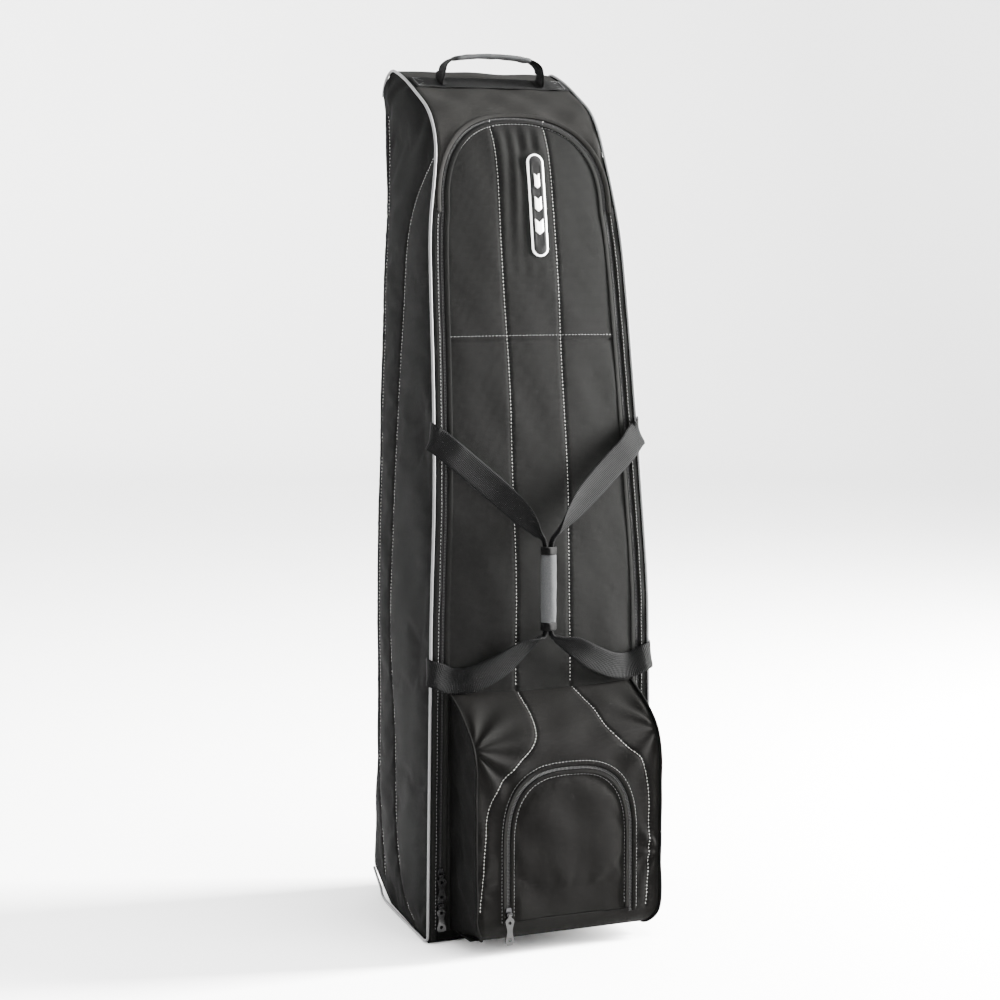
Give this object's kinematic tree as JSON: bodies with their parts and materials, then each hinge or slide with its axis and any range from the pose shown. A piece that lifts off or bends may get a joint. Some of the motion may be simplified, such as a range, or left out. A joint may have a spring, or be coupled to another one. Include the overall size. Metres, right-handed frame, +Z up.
{
  "type": "golf travel case",
  "caption": "Tall wheeled soft case for a golf bag, with a padded head flap, a domed zip pocket, a top handle and a two-strap haul grip.",
  "frame": {"origin": "centre of the flat base, on the floor", "axes": "+Z up along the case, -Y out of the front (lid and pocket side), +X across to the right of someone looking at the front from behind the case's back: the left parts are on -X"},
  "size_m": [0.3676, 0.4148, 1.294],
  "materials": {
    "panel_fabric": "woven",
    "side_fabric": "woven",
    "webbing": "ribbed",
    "piping": "satin",
    "zip_coil": "ribbed",
    "zip_hardware": "gloss",
    "zip_pull": "gloss",
    "grip_fabric": "woven",
    "moulding": "textured",
    "tyre": "satin",
    "hub": "satin",
    "steel": "satin",
    "foam": "matte",
    "badge": "satin"
  },
  "bodies": {
    "shell": {"back_panel": "panel_fabric", "side_panel_left": "side_fabric", "side_panel_right": "side_fabric", "front_gusset_left": "panel_fabric", "front_gusset_right": "panel_fabric", "hood_panel": "panel_fabric", "top_panel": "panel_fabric", "lid_panel": "panel_fabric", "piping_left": "piping", "piping_right": "piping", "main_zip_outer": "zip_coil", "main_zip_lid": "zip_coil", "pocket_gusset": "panel_fabric", "pocket_face": "panel_fabric", "pocket_zip_outer": "zip_coil", "haul_tabs_left": "webbing", "haul_tabs_right": "webbing", "top_webbing": "webbing", "handle_tabs": "webbing", "base_pan": "moulding", "wheel_housing_left": "moulding", "wheel_housing_right": "moulding", "axle_left": "steel", "axle_right": "steel", "axle_spacer_left": "steel", "axle_spacer_right": "steel", "axle_nut_left": "steel", "axle_nut_right": "steel", "back_board": "moulding", "skid_rails": "moulding", "rail_rivets": "steel", "inner_strap_upper": "webbing", "inner_strap_lower": "webbing", "inner_buckle_upper": "moulding", "inner_buckle_lower": "moulding", "base_rivets": "steel"},
    "head_flap": {"head_flap": "panel_fabric", "head_flap_pad": "foam", "head_flap_zip": "zip_coil", "badge": "badge"},
    "main_slider_upper": {"main_slider_upper": "zip_hardware"},
    "main_pull_upper": {"main_pull_upper": "zip_pull"},
    "main_slider_lower": {"main_slider_lower": "zip_hardware"},
    "main_pull_lower": {"main_pull_lower": "zip_pull"},
    "pocket_door": {"pocket_door": "panel_fabric", "pocket_door_zip": "zip_coil"},
    "pocket_slider": {"pocket_slider": "zip_hardware"},
    "pocket_pull": {"pocket_pull": "zip_pull"},
    "haul_left": {"haul_strap_left": "webbing"},
    "haul_right": {"haul_strap_right": "webbing"},
    "grip_cuff": {"grip_wrap": "grip_fabric", "grip_bands": "webbing"},
    "top_handle": {"top_handle": "webbing", "top_handle_grip": "grip_fabric"},
    "wheel_left": {"wheel_tyre_left": "tyre", "wheel_hub_left": "hub", "bearings_left": "steel"},
    "wheel_right": {"wheel_tyre_right": "tyre", "wheel_hub_right": "hub", "bearings_right": "steel"}
  },
  "joints": [
    {"name": "wheel_left_spin", "type": "hinge", "parent": "shell", "child": "wheel_left", "pos_m": [-0.095, 0.105, 0.037], "axis": [1, 0, 0], "continuous": true},
    {"name": "wheel_right_spin", "type": "hinge", "parent": "shell", "child": "wheel_right", "pos_m": [0.095, 0.105, 0.037], "axis": [1, 0, 0], "continuous": true},
    {"name": "head_flap_fold", "type": "hinge", "parent": "shell", "child": "head_flap", "pos_m": [0, -0.13207, 0.873], "axis": [1, 0, 0], "range_deg": [0, 120]},
    {"name": "pocket_door_fold", "type": "hinge", "parent": "shell", "child": "pocket_door", "pos_m": [0, -0.266, 0.076], "axis": [1, 0, 0], "range_deg": [0, 85]},
    {"name": "top_handle_swing", "type": "hinge", "parent": "shell", "child": "top_handle", "pos_m": [0, 0.01919, 1.26487], "axis": [1, 0, 0], "range_deg": [-55, 80]},
    {"name": "main_slider_upper_slide", "type": "slide", "parent": "shell", "child": "main_slider_upper", "axis": [0.0146, 0, 0.9999], "range_m": [0, 0.26]},
    {"name": "main_pull_upper_swing", "type": "hinge", "parent": "main_slider_upper", "child": "main_pull_upper", "pos_m": [-0.16053, -0.1707, 0.101], "axis": [-1, 0, 0], "range_deg": [0, 120]},
    {"name": "main_slider_lower_slide", "type": "slide", "parent": "shell", "child": "main_slider_lower", "axis": [0.0146, 0, 0.9999], "range_m": [-0.012, 0.0012]},
    {"name": "main_pull_lower_swing", "type": "hinge", "parent": "main_slider_lower", "child": "main_pull_lower", "pos_m": [-0.16118, -0.1707, 0.056], "axis": [-1, 0, 0], "range_deg": [0, 120]},
    {"name": "pocket_slider_slide", "type": "slide", "parent": "shell", "child": "pocket_slider", "axis": [0, 0, 1], "range_m": [0, 0.075]},
    {"name": "pocket_pull_swing", "type": "hinge", "parent": "pocket_slider", "child": "pocket_pull", "pos_m": [-0.097, -0.2717, 0.062], "axis": [-1, 0, 0], "range_deg": [0, 120]},
    {"name": "haul_left_swing", "type": "hinge", "parent": "shell", "child": "haul_left", "pos_m": [-0.17899, -0.1725, 0.412], "axis": [-0.0393, -0.0507, -0.9979], "range_deg": [0, 90]},
    {"name": "haul_right_swing", "type": "hinge", "parent": "shell", "child": "haul_right", "pos_m": [0.17899, -0.1725, 0.412], "axis": [-0.0393, 0.0507, 0.9979], "range_deg": [0, 90]},
    {"name": "grip_cuff_open", "type": "hinge", "parent": "haul_left", "child": "grip_cuff", "pos_m": [-0.0111, -0.189, 0.515], "axis": [0, 0, -1], "range_deg": [0, 90]}
  ],
  "couplings": [
    {"joint": "haul_right_swing", "follows": "haul_left_swing", "ratio": 1},
    {"joint": "grip_cuff_open", "follows": "haul_left_swing", "ratio": 1}
  ]
}
